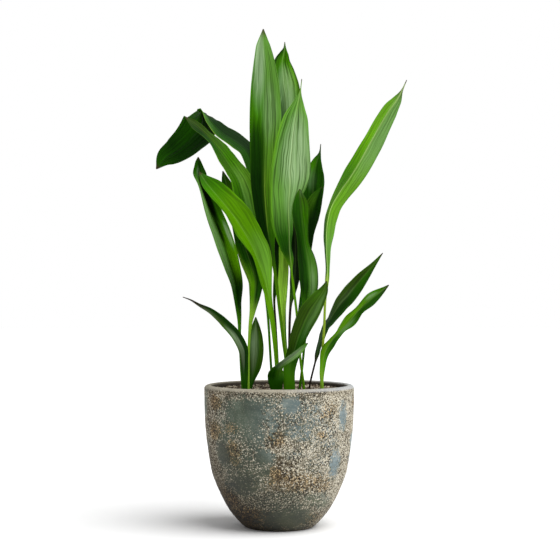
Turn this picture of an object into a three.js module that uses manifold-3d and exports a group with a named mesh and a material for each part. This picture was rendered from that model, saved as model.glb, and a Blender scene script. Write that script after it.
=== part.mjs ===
// A cast iron plant (Aspidistra elatior) in a round ceramic planter, in millimetres.
// The pot stands on z = 0 with its axis on Z, and the front of the plant faces -Y.
import * as THREE from "three";
import { mergeVertices } from "three/addons/utils/BufferGeometryUtils.js";
import Module from "manifold-3d";

// Driving dimensions.
const POT_HEIGHT = 283;
const RIM_RADIUS = 149.5;
const BASE_RADIUS = 66;
const WALL = 17;
const LIP_ROUNDING = 7;
const FLOOR_THICKNESS = 24;
const FLOOR_CORNER = 22;
const WALL_FOOT = 44;
const SOIL_BELOW_RIM = 8;
const FOOT_DEPTH = 30;
const BLADE_THICKNESS = 1;
const SEAT_GAP = 0.3;
const PLUG_EXCESS = 5;

// The leaves are laid out as they look from the front, from an eye at this place.
const EYE_DISTANCE = 3000;
const EYE_HEIGHT = 492;
const EYE_X = 1.5;

// Fineness of the solids.
const POT_SIDES = 56;
const OUTSIDE_STEPS = 15;
const LIP_STEPS = 6;
const BLADE_STEP = 23;
const STALK_STEP = 45;
const WIDE_LEAF = 50;
const SHARES_ACROSS_WIDE = 6;
const SHARES_ACROSS_NARROW = 4;

// A wave runs a little later along the right edge than along the left one, in turns, and
// it dies away where the blade is narrower than the full width for waves.
const WAVE_LAG = 0.15;
const FULL_WAVE_WIDTH = 20;

const POT_COLOUR = 0x7d7f74;
const SOIL_COLOUR = 0x6b5946;
const BRIGHT_GREEN = 0x5f9a22;
const MID_GREEN = 0x3f7326;
const DEEP_GREEN = 0x224a18;
const PALE_GREEN = 0x7fa867;

// One leaf a row. Each station is [x, z, depth, width, turn, fold] from the soil to the tip:
// x and z are where the midrib is seen from the front, in the plane of the pot's axis,
// depth is how far behind that plane it lies, width is the whole blade's, turn swings the
// right edge away from the eye and fold lifts both halves off flat, in degrees.
// foot is the stalk's place on the soil, stalk its width and thickness, and the blade opens
// after the station that blade counts. wave is the edge's height, count and start in turns.
const LEAVES = [
  {
    name: "leaf_tallest",
    colour: MID_GREEN, foot: [14, -25], stalk: [6, 5], blade: 5, wave: [1.5, 3, 0.1],
    stations: [
      [13, 332, -22, 6, 0, 10], [9, 362, -18, 6, 0, 10], [3, 412, -12, 6, 0, 10],
      [-3, 462, -8, 6, 0, 10], [-9, 512, -5, 7, 0, 12], [-16, 552, -2, 14, -5, 14],
      [-24, 602, 0, 38, -10, 14], [-29, 672, 2, 54, -12, 14], [-28, 752, 6, 61, -10, 12],
      [-27, 822, 12, 65, -8, 12], [-28, 882, 18, 58, -6, 12], [-30, 932, 24, 42, -4, 12],
      [-32, 962, 28, 28, -4, 10], [-32, 982, 30, 12, 0, 6], [-32, 994, 31, 2, 0, 0],
    ],
  },
  {
    name: "leaf_glossy",
    colour: PALE_GREEN, foot: [49, -30], stalk: [5, 4.5], blade: 4, wave: [2, 3, 0.4],
    stations: [
      [42, 336, -34, 5, 0, 0], [36, 416, -42, 5, 0, 0], [28, 482, -50, 5, 0, 0],
      [24, 516, -54, 6, 10, -10], [21, 552, -60, 34, 36, -38], [20, 592, -64, 62, 38, -40],
      [19, 636, -68, 76, 36, -38], [21, 682, -70, 79, 14, -16], [23, 722, -70, 78, 4, 8],
      [27, 772, -68, 66, 0, 12], [33, 816, -66, 49, 0, 14], [38, 846, -64, 22, 0, 10],
      [42, 868, -62, 4, 0, 0], [45, 894, -60, 1.5, 0, 0],
    ],
  },
  {
    name: "leaf_right_centre",
    colour: DEEP_GREEN, foot: [41, -5], stalk: [5, 4.5], blade: 4, wave: [1.5, 2, 0.2],
    stations: [
      [45, 308, -8, 5, 0, 0], [49, 348, -18, 5, 0, 0], [54, 402, -34, 8, 0, 5],
      [57, 442, -48, 22, -15, 12], [61, 482, -62, 38, -22, 14], [58, 528, -78, 42, -30, 14],
      [51, 572, -92, 42, -56, 12], [46, 616, -102, 40, -42, 12], [43, 642, -108, 32, -20, 12],
      [41, 662, -110, 16, 0, 10], [41, 674, -111, 2, 0, 0],
    ],
  },
  {
    name: "leaf_second_tall",
    colour: DEEP_GREEN, foot: [17, 48], stalk: [6, 5], blade: 4, wave: [2, 3, 0.7],
    stations: [
      [14, 340, 50, 6, 0, 0], [11, 392, 54, 6, 0, 0], [11, 492, 62, 6, 0, 0],
      [13, 572, 72, 8, 0, 8], [15, 652, 84, 42, 5, 12], [17, 732, 94, 60, 8, 14],
      [14, 812, 102, 68, 10, 14], [11, 868, 106, 64, 12, 14], [8, 902, 108, 52, 12, 12],
      [6, 928, 110, 36, 10, 10], [9, 944, 112, 20, 5, 8], [11, 956, 113, 6, 0, 0],
      [11, 968, 114, 1.5, 0, 0],
    ],
  },
  {
    name: "leaf_right_tall",
    colour: BRIGHT_GREEN, foot: [83, -25], stalk: [5, 4.5], blade: 4, wave: [2, 3, 0.3],
    stations: [
      [87, 352, -40, 5, 0, 0], [90, 402, -42, 5, 0, 0], [92, 452, -38, 5, 0, 0],
      [95, 486, -34, 8, 20, 5], [96, 512, -30, 16, 50, 10], [94, 552, -24, 34, 66, 14],
      [94, 582, -18, 40, 62, 16], [97, 612, -12, 45, 58, 16], [104, 638, -6, 52, 56, 16],
      [121, 668, 0, 54, 48, 16], [142, 698, 4, 56, 40, 16], [161, 728, 8, 54, 38, 14],
      [180, 762, 10, 54, 38, 14], [199, 796, 10, 52, 38, 12], [219, 830, 8, 41, 34, 12],
      [234, 850, 6, 22, 25, 10], [245, 870, 4, 5, 0, 0], [255, 892, 2, 1.5, 0, 0],
    ],
  },
  {
    name: "leaf_arching",
    colour: DEEP_GREEN, foot: [-2, 58], stalk: [6, 5], blade: 5, wave: [1.5, 2, 0.5],
    stations: [
      [-8, 352, 62, 6, 0, 0], [-18, 432, 70, 6, 0, 0], [-31, 512, 82, 6, 10, 0],
      [-42, 602, 94, 9, 25, 5], [-48, 672, 102, 26, 40, 8], [-56, 724, 108, 50, 52, 8],
      [-66, 749, 112, 60, 58, 8], [-87, 767, 116, 66, 60, 8], [-117, 786, 120, 72, 64, 8],
      [-136, 806, 122, 74, 70, 6], [-146, 820, 124, 74, 79, 5], [-154, 828, 126, 74, 94, 4],
      [-157, 803, 126, 94, 136, 4], [-179, 774, 122, 75, 148, 6], [-207, 750, 116, 57, 155, 8],
      [-229, 736, 110, 38, 155, 8], [-246, 714, 104, 2, 150, 0],
    ],
  },
  {
    name: "leaf_upper_left",
    colour: MID_GREEN, foot: [-14, 8], stalk: [5, 4.5], blade: 5, wave: [1.5, 3, 0.2],
    stations: [
      [-16, 312, 8, 5, 0, 0], [-19, 362, 8, 5, 0, 0], [-22, 412, 10, 5, 0, 0],
      [-27, 462, 20, 6, 0, 0], [-37, 528, 32, 10, 10, 5], [-48, 576, 38, 38, 25, 10],
      [-63, 635, 38, 60, 34, 10], [-79, 688, 28, 62, 44, 10], [-95, 715, 20, 60, 50, 10],
      [-112, 740, 10, 54, 54, 10], [-125, 757, 6, 48, 58, 10], [-144, 779, 0, 40, 62, 8],
      [-168, 801, -6, 26, 50, 8], [-188, 818, -10, 2, 40, 0],
    ],
  },
  {
    name: "leaf_bright_left",
    colour: BRIGHT_GREEN, foot: [-2, -35], stalk: [8, 7], blade: 4, wave: [1.5, 3, 0.6],
    stations: [
      [-5, 322, -38, 8, 0, 0], [-8, 362, -42, 9, 0, 0], [-14, 412, -50, 10, 10, 5],
      [-20, 448, -58, 14, 25, 12], [-27, 482, -66, 26, 38, 20], [-45, 536, -76, 60, 44, 34],
      [-58, 566, -82, 66, 43, 28], [-73, 592, -88, 68, 42, 24], [-90, 618, -94, 68, 42, 26],
      [-107, 640, -98, 65, 44, 28], [-126, 662, -102, 54, 42, 28], [-144, 684, -106, 37, 34, 22],
      [-160, 708, -108, 2, 30, 0],
    ],
  },
  {
    name: "leaf_low_right",
    colour: MID_GREEN, foot: [20, -75], stalk: [22, 5], blade: 1, wave: [1, 2, 0.1],
    stations: [
      [20, 312, -76, 24, 0, 8], [30, 352, -80, 28, 5, 10], [43, 392, -84, 36, 8, 12],
      [60, 428, -88, 41, 8, 12], [76, 452, -92, 32, 5, 10], [89, 472, -95, 18, 0, 6],
      [95, 490, -97, 2, 0, 0],
    ],
  },
  {
    name: "leaf_behind_left",
    colour: MID_GREEN, foot: [-61, -28], stalk: [5, 4.5], blade: 3, wave: [1, 2, 0.2],
    stations: [
      [-61, 352, -12, 5, 0, 0], [-58, 402, 0, 7, 0, 4], [-53, 432, 12, 13, 5, 8],
      [-49, 462, 26, 24, 10, 12], [-48, 492, 40, 34, 15, 14], [-58, 528, 50, 44, 20, 14],
      [-70, 562, 55, 44, 25, 14], [-83, 608, 59, 42, 40, 12], [-96, 652, 61, 34, 40, 12],
      [-106, 684, 61, 22, 30, 10], [-113, 710, 60, 2, 20, 0],
    ],
  },
  {
    name: "leaf_folded_left",
    colour: DEEP_GREEN, foot: [-73, -12], stalk: [5, 4.5], blade: 3, wave: [1.5, 3, 0.5],
    stations: [
      [-76, 312, -12, 5, 0, 0], [-79, 382, -12, 6, 0, 5], [-80, 416, -12, 9, 4, 20],
      [-83, 448, -13, 18, 6, 40], [-86, 482, -14, 36, 8, 50], [-97, 520, -16, 52, 9, 52],
      [-109, 558, -18, 60, 9, 52], [-122, 592, -20, 60, 12, 53], [-135, 622, -22, 57, 15, 54],
      [-149, 658, -24, 50, 22, 54], [-159, 686, -26, 38, 30, 50], [-162, 706, -28, 34, 19, 39],
      [-162, 722, -29, 20, 10, 36], [-162, 738, -30, 2, 0, 0],
    ],
  },
  {
    name: "leaf_low_left",
    colour: DEEP_GREEN, foot: [-67, -52], stalk: [9, 5], blade: 1, wave: [1, 2, 0.3],
    stations: [
      [-69, 302, -52, 13, 0, 8], [-70, 332, -54, 16, 0, 12], [-73, 356, -57, 20, 5, 12],
      [-88, 383, -63, 20, 15, 12], [-103, 399, -69, 19, 20, 12], [-120, 416, -75, 16, 20, 10],
      [-139, 431, -81, 11, 15, 8], [-160, 442, -87, 6, 0, 0], [-177, 452, -91, 3, 0, 0],
      [-193, 458, -94, 1.5, 0, 0],
    ],
  },
  {
    name: "leaf_small_upright",
    colour: PALE_GREEN, foot: [-57, 2], stalk: [6, 4.5], blade: 1, wave: [1, 1, 0.1],
    stations: [
      [-55, 292, 4, 13, 0, 8], [-50, 320, 8, 29, 0, 12], [-47, 352, 12, 33, 0, 14],
      [-47, 382, 16, 27, 0, 12], [-47, 402, 18, 15, 0, 10], [-47, 418, 19, 2, 0, 0],
    ],
  },
  {
    name: "leaf_front_folded",
    colour: MID_GREEN, foot: [-5, -80], stalk: [22, 5], blade: 1, wave: [0, 1, 0],
    stations: [
      [-7, 292, -85, 31, 0, -10], [-5, 306, -90, 34, 30, -8], [0, 318, -92, 28, 56, -4],
      [14, 330, -98, 24, 56, 4], [30, 342, -103, 20, 48, 8], [44, 354, -106, 14, 40, 8],
      [57, 366, -108, 2, 20, 0],
    ],
  },
  {
    name: "leaf_dark_right",
    colour: DEEP_GREEN, foot: [60, -5], stalk: [4, 4], blade: 3, wave: [1, 2, 0.4],
    stations: [
      [64, 296, -4, 4, 0, 0], [69, 316, -2, 4, 0, 0], [73, 332, 0, 5, 0, 5],
      [77, 352, 2, 16, 50, 10], [84, 377, 5, 25, 60, 10], [91, 399, 8, 28, 60, 10],
      [103, 416, 12, 33, 54, 10], [121, 443, 18, 36, 30, 12], [139, 464, 24, 37, 22, 12],
      [162, 492, 30, 28, 15, 12], [187, 521, 36, 12, 0, 6], [207, 546, 40, 1.5, 0, 0],
    ],
  },
  {
    name: "leaf_wavy_right",
    colour: BRIGHT_GREEN, foot: [85, -60], stalk: [5, 4.5], blade: 1, wave: [4.5, 3, 0.2],
    stations: [
      [85, 296, -61, 8, 0, 0], [87, 322, -63, 13, 10, 8], [92, 348, -67, 18, 20, 10],
      [105, 371, -73, 18, 30, 12], [122, 390, -79, 20, 28, 12], [141, 410, -84, 25, 20, 12],
      [159, 432, -88, 18, 15, 10], [182, 453, -93, 27, 12, 10], [207, 472, -98, 11, 0, 4],
      [219, 482, -100, 2, 0, 0],
    ],
  },
  {
    name: "leaf_upper_right",
    colour: DEEP_GREEN, foot: [22, 75], stalk: [5, 4.5], blade: 4, wave: [1.5, 2, 0.1],
    stations: [
      [27, 332, 76, 5, 0, 0], [39, 412, 78, 5, 0, 0], [51, 492, 80, 5, 0, 0],
      [59, 562, 82, 8, 0, 5], [65, 622, 84, 32, 10, 12], [67, 672, 86, 46, 15, 12],
      [69, 702, 87, 43, 15, 12], [75, 728, 88, 22, 10, 10], [81, 746, 88, 5, 0, 0],
      [83, 764, 88, 1.5, 0, 0],
    ],
  },
  {
    name: "leaf_right_behind",
    colour: DEEP_GREEN, foot: [25, 30], stalk: [5, 4.5], blade: 3, wave: [1, 2, 0.6],
    stations: [
      [30, 342, 28, 5, 0, 0], [39, 422, 22, 5, 0, 0], [49, 502, 12, 7, 0, 0],
      [55, 552, 10, 20, -10, 10], [60, 592, 5, 26, -20, 12], [66, 628, -12, 38, -20, 14],
      [75, 656, -16, 26, -10, 12], [85, 678, -18, 2, 0, 0],
    ],
  },
  {
    name: "leaf_dark_centre",
    colour: DEEP_GREEN, foot: [21, -5], stalk: [5, 4.5], blade: 3, wave: [1, 2, 0.2],
    stations: [
      [20, 352, -4, 5, 0, 0], [21, 412, -2, 5, 0, 0], [23, 444, 0, 6, 0, 4],
      [27, 468, -3, 14, 20, 10], [31, 502, -8, 26, 35, 12], [32, 542, -8, 32, 40, 12],
      [31, 588, 2, 30, 40, 12], [30, 628, 6, 20, 30, 10], [29, 656, 8, 2, 0, 0],
    ],
  },
  {
    name: "leaf_light_inner",
    colour: BRIGHT_GREEN, foot: [15, 12], stalk: [5, 4.5], blade: 3, wave: [1, 2, 0.4],
    stations: [
      [13, 342, 12, 5, 0, 0], [9, 382, 13, 5, 0, 0], [8, 416, 14, 8, 0, 5],
      [7, 452, 15, 16, 10, 12], [7, 488, 16, 21, 10, 14], [8, 522, 17, 22, 20, 14],
      [8, 562, 18, 20, 20, 12], [8, 602, 19, 14, 10, 10], [8, 636, 20, 2, 0, 0],
    ],
  },
  {
    name: "leaf_dark_inner",
    colour: DEEP_GREEN, foot: [-1, 25], stalk: [4, 4], blade: 3, wave: [1, 2, 0.1],
    stations: [
      [-4, 352, 28, 4, 0, 0], [-7, 402, 31, 4, 0, 0], [-10, 452, 33, 5, 0, 4],
      [-8, 476, 34, 10, 15, 8], [-4, 512, 35, 16, 25, 12], [-3, 552, 36, 18, 25, 12],
      [-2, 588, 37, 14, 15, 10], [-1, 622, 38, 2, 0, 0],
    ],
  },
];

const wasm = await Module();
wasm.setup();

const plant = new THREE.Group();
plant.name = "potted_cast_iron_plant";

const soilTop = POT_HEIGHT - SOIL_BELOW_RIM;

// The outside, from the flat base up to the lip, and the inside at one wall's thickness.
const outside = new THREE.SplineCurve([
  new THREE.Vector2(BASE_RADIUS, 0),
  new THREE.Vector2(72.5, 3.6),
  new THREE.Vector2(82, 13),
  new THREE.Vector2(98, 32),
  new THREE.Vector2(110, 52),
  new THREE.Vector2(120, 72),
  new THREE.Vector2(128.5, 92),
  new THREE.Vector2(134.6, 111),
  new THREE.Vector2(141.5, 151),
  new THREE.Vector2(146.7, 191),
  new THREE.Vector2(149, 240),
  new THREE.Vector2(RIM_RADIUS, POT_HEIGHT - LIP_ROUNDING),
]);

function potProfile() {
  const outer = outside.getPoints(OUTSIDE_STEPS);
  const lipCentre = new THREE.Vector2(RIM_RADIUS - WALL / 2, POT_HEIGHT - LIP_ROUNDING);
  const lip = new THREE.EllipseCurve(lipCentre.x, lipCentre.y, WALL / 2, LIP_ROUNDING, 0, Math.PI);
  return [new THREE.Vector2(0, 0), ...outer, ...lip.getPoints(LIP_STEPS).slice(1), ...insideProfile(0)];
}

// The inside from just under the lip down to the floor's middle, drawn in by a margin.
function insideProfile(margin) {
  const heights = [240, 191, 151, 111, 72, WALL_FOOT];
  const wall = heights.map((z) => new THREE.Vector2(outerRadiusAt(z) - WALL - margin, z));
  const floorRadius = outerRadiusAt(WALL_FOOT) - WALL - FLOOR_CORNER - margin;
  const floorTop = FLOOR_THICKNESS + margin;
  return [...wall, new THREE.Vector2(floorRadius, floorTop), new THREE.Vector2(0, floorTop)];
}

function outerRadiusAt(z) {
  let low = 0;
  let high = 1;
  for (let step = 0; step < 40; step += 1) {
    const middle = (low + high) / 2;
    if (outside.getPoint(middle).y < z) low = middle;
    else high = middle;
  }
  return outside.getPoint(low).x;
}

// A lathe turns about Y, so it is stood up on Z.
function turned(profile) {
  return new THREE.LatheGeometry(profile, POT_SIDES).rotateX(Math.PI / 2);
}

function addPiece(name, geometry, colour, roughness) {
  const material = new THREE.MeshStandardMaterial({ color: colour, roughness, metalness: 0 });
  const mesh = new THREE.Mesh(geometry, material);
  mesh.name = name;
  plant.add(mesh);
}

addPiece("pot", turned(potProfile()), POT_COLOUR, 0.85);

// A point seen at (x, z) in the plane of the pot's axis, pushed back along the line of sight.
function alongSight(x, z, depth) {
  const reach = (EYE_DISTANCE + depth) / EYE_DISTANCE;
  return new THREE.Vector3(EYE_X + (x - EYE_X) * reach, depth, EYE_HEIGHT + (z - EYE_HEIGHT) * reach);
}

// The rows that the leaf's skin is drawn through, from the foot in the soil to the tip.
function leafRows(leaf) {
  const [footX, footY] = leaf.foot;
  const [stalkWidth, stalkThickness] = leaf.stalk;
  const sunk = new THREE.Vector3(footX, footY, soilTop - FOOT_DEPTH);
  const surfaced = new THREE.Vector3(footX, footY, soilTop + 1);
  const seen = leaf.stations.map(([x, z, depth]) => alongSight(x, z, depth));
  const spine = new THREE.CatmullRomCurve3([sunk, surfaced, ...seen], false, "centripetal");
  const shapes = leaf.stations.map(([, , , width, turn, fold]) => new THREE.Vector3(width, turn, fold));
  const footShape = new THREE.Vector3(stalkWidth, 0, 0);
  const form = new THREE.CatmullRomCurve3([footShape, footShape, ...shapes], false, "catmullrom", 0.5);
  const last = spine.points.length - 1;
  const bladeFrom = leaf.blade + 1;
  const along = new THREE.Vector3(0, 0, 1);
  const upright = { along, width: stalkWidth, turn: 0, fold: 0, round: 1, share: 0 };
  const rows = [{ ...upright, at: sunk }, { ...upright, at: surfaced }];
  for (let station = 1; station < last; station += 1) {
    const length = spine.points[station].distanceTo(spine.points[station + 1]);
    const step = station < bladeFrom ? STALK_STEP : BLADE_STEP;
    const parts = Math.max(1, Math.round(length / step));
    for (let part = 1; part <= parts; part += 1) {
      const place = station + part / parts;
      const t = place / last;
      const shape = form.getPoint(t);
      const opened = THREE.MathUtils.smoothstep(place, bladeFrom - 0.5, bladeFrom + 1);
      rows.push({
        at: spine.getPoint(t),
        along: spine.getTangent(t),
        width: Math.max(shape.x, BLADE_THICKNESS),
        turn: THREE.MathUtils.degToRad(shape.y),
        fold: THREE.MathUtils.degToRad(shape.z),
        round: 1 - opened,
        share: Math.max(0, (place - bladeFrom) / (last - bladeFrom)),
      });
    }
  }
  return { rows, stalkThickness };
}

// The ring of points round one row: the upper face from left to right, then the lower face
// back. A stalk's ring is an ellipse and a blade's is a folded strip with waved edges.
function ringPoints(row, leaf, stalkThickness, across) {
  const flat = new THREE.Vector3(row.along.z, 0, -row.along.x).normalize();
  const depthward = new THREE.Vector3().crossVectors(row.along, flat).normalize();
  const sideways = flat.multiplyScalar(Math.cos(row.turn)).addScaledVector(depthward, Math.sin(row.turn));
  const up = new THREE.Vector3().crossVectors(sideways, row.along).normalize();
  const [waveHeight, waveCount, waveStart] = leaf.wave;
  const half = row.width / 2;
  const points = [];
  for (const face of [1, -1]) {
    for (let index = 0; index <= across; index += 1) {
      const share = face > 0 ? index / across : 1 - index / across;
      const u = share * 2 - 1;
      const angle = Math.PI * (1 - (share * across + 0.5) / (across + 1));
      const beat = 2 * Math.PI * (waveCount * row.share + waveStart + u * WAVE_LAG);
      const wave = waveHeight * u * u * Math.sin(beat) * Math.min(1, row.width / FULL_WAVE_WIDTH);
      const tilt = Math.sign(u) * row.fold;
      const thickness = (face * BLADE_THICKNESS) / 2;
      const bladeAcross = u * half * Math.cos(row.fold) - thickness * Math.sin(tilt);
      const middle = u === 0 ? 1 / Math.cos(row.fold) : Math.cos(tilt);
      const bladeUp = Math.abs(u) * half * Math.sin(row.fold) + wave + thickness * middle;
      const roundAcross = half * Math.cos(angle);
      const roundUp = (face * stalkThickness * Math.sin(angle)) / 2;
      const offAcross = THREE.MathUtils.lerp(bladeAcross, roundAcross, row.round);
      const offUp = THREE.MathUtils.lerp(bladeUp, roundUp, row.round);
      points.push(row.at.clone().addScaledVector(sideways, offAcross).addScaledVector(up, offUp));
    }
  }
  return points;
}

// Joins the rings with the same diagonals on both faces, and closes the two ends.
function skin(rings, across) {
  const count = rings[0].length;
  const positions = rings.flat().flatMap((point) => point.toArray());
  const faces = [];
  for (let ring = 0; ring + 1 < rings.length; ring += 1) {
    for (let index = 0; index < count; index += 1) {
      const next = (index + 1) % count;
      const a = ring * count + index;
      const b = ring * count + next;
      const c = a + count;
      const d = b + count;
      if (index < across) faces.push(a, b, d, a, d, c);
      else faces.push(a, b, c, b, d, c);
    }
  }
  const top = (rings.length - 1) * count;
  for (let index = 0; index < across; index += 1) {
    const under = count - 1 - index;
    faces.push(index, under, index + 1, index + 1, under, under - 1);
    faces.push(top + index, top + index + 1, top + under, top + index + 1, top + under - 1, top + under);
  }
  const geometry = new THREE.BufferGeometry();
  geometry.setAttribute("position", new THREE.Float32BufferAttribute(positions, 3));
  geometry.setIndex(faces);
  return geometry;
}

function sharesAcross(leaf) {
  const widest = Math.max(...leaf.stations.map((station) => station[3]));
  return widest > WIDE_LEAF ? SHARES_ACROSS_WIDE : SHARES_ACROSS_NARROW;
}

function leafGeometry(leaf) {
  const across = sharesAcross(leaf);
  const { rows, stalkThickness } = leafRows(leaf);
  return skin(rows.map((row) => ringPoints(row, leaf, stalkThickness, across)), across);
}

// A plug a little wider than the stalk, which cuts its hole in the soil.
function footPlug(leaf) {
  const [x, y] = leaf.foot;
  const [width, thickness] = leaf.stalk;
  const corners = 2 * (sharesAcross(leaf) + 1);
  const outline = new THREE.Shape();
  for (let corner = 0; corner < corners; corner += 1) {
    const angle = (2 * Math.PI * (corner + 0.5)) / corners;
    const cornerX = x + (width / 2 + SEAT_GAP) * Math.cos(angle);
    const cornerY = y + (thickness / 2 + SEAT_GAP) * Math.sin(angle);
    if (corner === 0) outline.moveTo(cornerX, cornerY);
    else outline.lineTo(cornerX, cornerY);
  }
  const depth = FOOT_DEPTH + SEAT_GAP + PLUG_EXCESS;
  const plug = new THREE.ExtrudeGeometry(outline, { depth, bevelEnabled: false });
  return plug.translate(0, 0, soilTop - FOOT_DEPTH - SEAT_GAP);
}

function toSolid(geometry) {
  const bare = geometry.clone();
  bare.deleteAttribute("normal");
  bare.deleteAttribute("uv");
  const merged = mergeVertices(bare, 1e-3);
  return new wasm.Manifold(new wasm.Mesh({
    numProp: 3,
    vertProperties: new Float32Array(merged.attributes.position.array),
    triVerts: new Uint32Array(merged.index.array),
  }));
}

function toGeometry(solid) {
  const mesh = solid.getMesh();
  const geometry = new THREE.BufferGeometry();
  geometry.setAttribute("position", new THREE.BufferAttribute(mesh.vertProperties, 3));
  geometry.setIndex(new THREE.BufferAttribute(mesh.triVerts, 1));
  return geometry;
}

// The potting mix fills the pot, with a hole for each stalk.
const topRadius = outerRadiusAt(soilTop) - WALL - SEAT_GAP;
const soilProfile = [
  new THREE.Vector2(0, soilTop),
  new THREE.Vector2(topRadius, soilTop),
  ...insideProfile(SEAT_GAP),
];
let soil = toSolid(turned(soilProfile.reverse()));
for (const leaf of LEAVES) {
  soil = soil.subtract(toSolid(footPlug(leaf)));
}
addPiece("soil", toGeometry(soil), SOIL_COLOUR, 1);

for (const leaf of LEAVES) {
  addPiece(leaf.name, leafGeometry(leaf), leaf.colour, 0.45);
}

export default plant;
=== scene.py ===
# A cast iron plant (Aspidistra elatior) in a round glazed planter, in metres. The pot stands
# on z = 0 with its axis on Z, and the front of the plant faces -Y.
import math
from dataclasses import dataclass

import bpy
import numpy as np
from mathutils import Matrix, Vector, noise


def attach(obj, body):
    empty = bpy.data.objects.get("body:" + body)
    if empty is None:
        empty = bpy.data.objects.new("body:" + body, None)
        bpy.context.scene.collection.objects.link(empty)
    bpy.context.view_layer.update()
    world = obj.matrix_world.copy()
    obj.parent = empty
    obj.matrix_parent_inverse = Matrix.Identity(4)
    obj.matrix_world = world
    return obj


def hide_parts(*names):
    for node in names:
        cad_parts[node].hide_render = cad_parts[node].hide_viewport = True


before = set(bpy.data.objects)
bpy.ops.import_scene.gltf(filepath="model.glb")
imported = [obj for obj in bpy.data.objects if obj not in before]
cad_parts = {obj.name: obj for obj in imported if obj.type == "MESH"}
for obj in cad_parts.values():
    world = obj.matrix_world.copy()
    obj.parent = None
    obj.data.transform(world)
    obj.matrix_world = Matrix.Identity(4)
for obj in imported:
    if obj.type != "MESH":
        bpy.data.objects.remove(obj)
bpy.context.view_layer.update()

# Pot
# A thrown stoneware planter on a narrow flat base, with a thick rounded rim. Its glaze is
# rough and crusty, beige with dark pits, and breaks into smooth blue-grey and rusty patches.
# Sizes are in mm.
MM = 0.001
POT_HEIGHT = 283
RIM_RADIUS = 149.5
WALL = 17
LIP_ROUNDING = 7
FLOOR_THICKNESS = 24
FLOOR_CORNER = 22
WALL_FOOT = 44
BASE_RINGS = [30, 60]
POT_OUTSIDE = [
    (66, 0), (72.5, 3.6), (82, 13), (98, 32), (110, 52), (120, 72), (128.5, 92), (134.6, 111),
    (141.5, 151), (146.7, 191), (149, 240), (RIM_RADIUS, POT_HEIGHT - LIP_ROUNDING),
]
INSIDE_HEIGHTS = [272, 266, 258, 250, 240, 191, 151, 111, 72, WALL_FOOT]
POT_OUTLINE_POINTS = 600
POT_ROW_STEP = 1.9
POT_COLUMNS = 400
LIP_STEPS = 14

# The crust's relief and the wall's slow wobble: how high each is, and how long its waves are.
CRUST_RELIEF = 0.55
CRUST_GRAIN = 4.5
WOBBLE = 0.5
WOBBLE_LENGTH = 55
MOST_RELIEF = 0.4
SMOOTHED_BY_BLUE = 0.85
GLAZE_FOOT = 2

# The noise's finer layers: how fast they weaken, how much finer each one is, and how many.
CRUST_LAYERS = (0.9, 2, 2)
EDGE_LAYERS = (0.7, 2.1, 3)
BACK_LAYERS = (0.8, 2, 4)

# Patches of the glaze on the front: x and z of the middle, half width and half height in mm,
# and how strong each one is. Noise places the patches on the pot's back, and takes over
# between two angles from the front, in radians.
BLUE_PATCHES = [
    (-66, 234, 42, 30, 1.0), (-50, 200, 26, 30, 0.75), (-30, 246, 26, 22, 0.6), (-109, 155, 12, 26, 1.0),
    (23, 253, 20, 18, 0.88), (58, 232, 36, 26, 0.42), (124, 226, 7, 28, 0.76), (108, 134, 10, 27, 0.84),
    (-29, 154, 18, 15, 1.0), (-27, 124, 9, 8, 0.8), (-72, 98, 32, 24, 0.85), (-40, 62, 30, 20, 0.3),
    (14, 28, 56, 24, 0.95), (70, 68, 26, 13, 0.6), (86, 56, 14, 14, 0.6), (-12, 226, 14, 44, 0.6),
    (40, 202, 30, 18, 0.55), (-40, 172, 26, 22, 0.3), (100, 176, 20, 14, 0.35), (30, 160, 30, 12, 0.3),
    (-76, 220, 52, 46, 0.5), (-68, 122, 46, 46, 0.6), (4, 56, 80, 34, 0.4), (46, 232, 60, 36, 0.38),
    (78, 206, 44, 50, 0.3), (84, 140, 40, 34, 0.26), (-108, 178, 16, 40, 0.5),
]
RUST_PATCHES = [
    (-125, 254, 10, 14, 0.9), (-126, 198, 11, 16, 0.9), (-92, 208, 14, 12, 0.6), (-90, 158, 13, 24, 0.9),
    (-6, 190, 15, 18, 0.6), (-6, 120, 12, 14, 1.0), (82, 194, 8, 7, 0.7), (86, 92, 14, 9, 0.5),
    (-58, 34, 30, 16, 0.9), (-98, 64, 14, 16, 0.9), (58, 26, 22, 11, 0.6), (96, 236, 16, 16, 0.45),
    (36, 104, 60, 18, 0.45),
]
PATCH_FADE = (1.75, 0.35)
PATCH_EDGE_LENGTH = 9
PATCH_RAGGEDNESS = 0.3
LEAST_COSINE = 0.45
BACK_FROM = (1.15, 1.45)
BACK_COVER = (0.1, 0.55)
BACK_RAGGEDNESS = 0.2
BACK_BLUE = {"length": 42, "seed": 3, "strength": 1.0}
BACK_RUST = {"length": 30, "seed": 8, "strength": 0.7}


def linear(red, green, blue):
    """A colour given as it looks on screen, from 0 to 255, as linear light."""
    return tuple((part / 255) ** 2.2 for part in (red, green, blue))


def ease(low, high, value):
    """From 0 at low to 1 at high, with soft ends."""
    part = np.clip((value - low) / (high - low), 0, 1)
    return part * part * (3 - 2 * part)


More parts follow.
